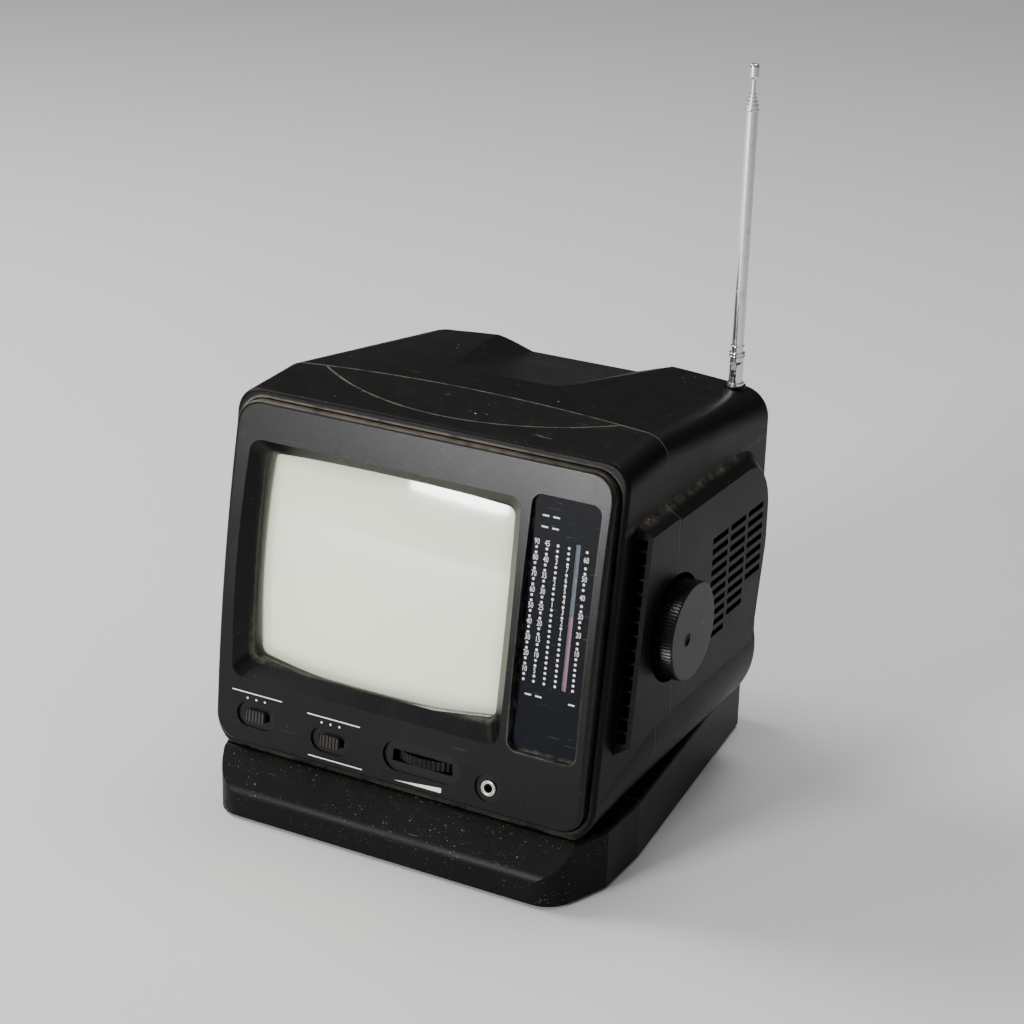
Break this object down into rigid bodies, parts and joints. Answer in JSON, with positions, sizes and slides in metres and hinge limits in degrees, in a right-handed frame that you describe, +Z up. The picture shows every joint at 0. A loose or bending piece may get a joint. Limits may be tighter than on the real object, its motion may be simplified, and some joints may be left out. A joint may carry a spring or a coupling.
{
  "type": "portable television",
  "caption": "Small portable television: leaning screen panel with slide-rule dial, side tuning knob, base and telescopic aerial.",
  "frame": {"origin": "centre of the footprint's bounding box, on the floor under the feet", "axes": "+X to the viewer's right when facing the screen, +Y to the rear, +Z up"},
  "size_m": [0.1813, 0.1862, 0.2885],
  "materials": {
    "black_plastic": "fine satin texture",
    "panel_plastic": "fine satin texture",
    "dial_plastic": "clear, smoked",
    "pointer_red": "gloss",
    "inner_plastic": "plain",
    "tube_glass": "polished, grey-green",
    "steel": "plated",
    "chrome": "polished",
    "coil_plastic": "varnished",
    "button_plastic": "worn, dusty",
    "board": "phenolic",
    "rubber": "matte",
    "aluminium": "plain",
    "cone_paper": "paper"
  },
  "bodies": {
    "cabinet": {"front_cabinet": "black_plastic", "rear_cabinet": "black_plastic", "front_panel": "panel_plastic", "dial_window": "dial_plastic", "tuning_bracket": "steel", "tuning_control": "inner_plastic", "pointer_guide": "inner_plastic", "picture_tube": "tube_glass", "tube_band": "steel", "tube_screws": "steel", "deflection_yoke": "coil_plastic", "tube_socket": "inner_plastic", "power_switch": "inner_plastic", "band_switch": "inner_plastic", "volume_control": "inner_plastic", "control_board": "board", "earphone_jack": "chrome", "trimmer_controls": "inner_plastic", "power_socket": "inner_plastic", "aerial_socket": "inner_plastic", "base_front": "black_plastic", "base_rear": "black_plastic", "base_cover": "black_plastic", "base_screws": "steel", "rubber_feet": "rubber", "cabinet_screws": "steel", "main_board": "board", "board_screws": "steel", "flyback": "inner_plastic", "tuner": "steel", "capacitors": "aluminium", "heat_sink": "aluminium", "speaker_basket": "steel", "speaker_cone": "cone_paper", "speaker_magnet": "steel", "aerial_bracket": "inner_plastic"},
    "tuning": {"tuning_knob": "black_plastic", "tuning_shaft": "inner_plastic"},
    "pointer": {"dial_pointer": "pointer_red"},
    "power": {"power_button": "button_plastic"},
    "band": {"band_button": "button_plastic"},
    "volume": {"volume_wheel": "black_plastic"},
    "brightness": {"brightness_knob": "black_plastic"},
    "contrast": {"contrast_knob": "black_plastic"},
    "hold": {"hold_knob": "black_plastic"},
    "aerial_foot": {"aerial_post": "chrome"},
    "aerial_arm": {"aerial_knuckle": "chrome", "aerial_section_1": "chrome"},
    "aerial_slide_2": {"aerial_section_2": "chrome"},
    "aerial_slide_3": {"aerial_section_3": "chrome"},
    "aerial_slide_4": {"aerial_section_4": "chrome"},
    "aerial_slide_5": {"aerial_section_5": "chrome"}
  },
  "joints": [
    {"name": "tuning_turn", "type": "hinge", "parent": "cabinet", "child": "tuning", "pos_m": [0.08325, -0.0304, 0.095], "axis": [1, 0, 0], "range_deg": [-195, 195]},
    {"name": "pointer_travel", "type": "slide", "parent": "cabinet", "child": "pointer", "axis": [0, 0.1444, 0.9895], "range_m": [-0.0256, 0.0256]},
    {"name": "power_slide", "type": "slide", "parent": "cabinet", "child": "power", "axis": [1, 0, 0], "range_m": [-0.004, 0.004]},
    {"name": "band_slide", "type": "slide", "parent": "cabinet", "child": "band", "axis": [1, 0, 0], "range_m": [-0.004, 0.004]},
    {"name": "volume_turn", "type": "hinge", "parent": "cabinet", "child": "volume", "pos_m": [0.00595, -0.06678, 0.03889], "axis": [0, 0.1444, 0.9895], "range_deg": [-140, 140]},
    {"name": "brightness_turn", "type": "hinge", "parent": "cabinet", "child": "brightness", "pos_m": [0.02725, 0.0651, 0.048], "axis": [0, 1, 0], "range_deg": [-140, 140]},
    {"name": "contrast_turn", "type": "hinge", "parent": "cabinet", "child": "contrast", "pos_m": [0.04125, 0.0651, 0.048], "axis": [0, 1, 0], "range_deg": [-140, 140]},
    {"name": "hold_turn", "type": "hinge", "parent": "cabinet", "child": "hold", "pos_m": [0.05525, 0.0651, 0.048], "axis": [0, 1, 0], "range_deg": [-140, 140]},
    {"name": "aerial_swivel", "type": "hinge", "parent": "cabinet", "child": "aerial_foot", "pos_m": [0.06425, 0.0561, 0.162], "axis": [0, 0, 1], "range_deg": [-180, 180]},
    {"name": "aerial_tilt", "type": "hinge", "parent": "aerial_foot", "child": "aerial_arm", "pos_m": [0.06425, 0.0561, 0.1686], "axis": [1, 0, 0], "range_deg": [0, 85]},
    {"name": "aerial_extend_2", "type": "slide", "parent": "aerial_arm", "child": "aerial_slide_2", "axis": [0, 0, 1], "range_m": [0, 0.085]},
    {"name": "aerial_extend_3", "type": "slide", "parent": "aerial_slide_2", "child": "aerial_slide_3", "axis": [0, 0, 1], "range_m": [0, 0.085]},
    {"name": "aerial_extend_4", "type": "slide", "parent": "aerial_slide_3", "child": "aerial_slide_4", "axis": [0, 0, 1], "range_m": [0, 0.085]},
    {"name": "aerial_extend_5", "type": "slide", "parent": "aerial_slide_4", "child": "aerial_slide_5", "axis": [0, 0, 1], "range_m": [0, 0.085]}
  ],
  "couplings": [
    {"joint": "pointer_travel", "follows": "tuning_turn", "m_per_rad": -0.0075}
  ]
}
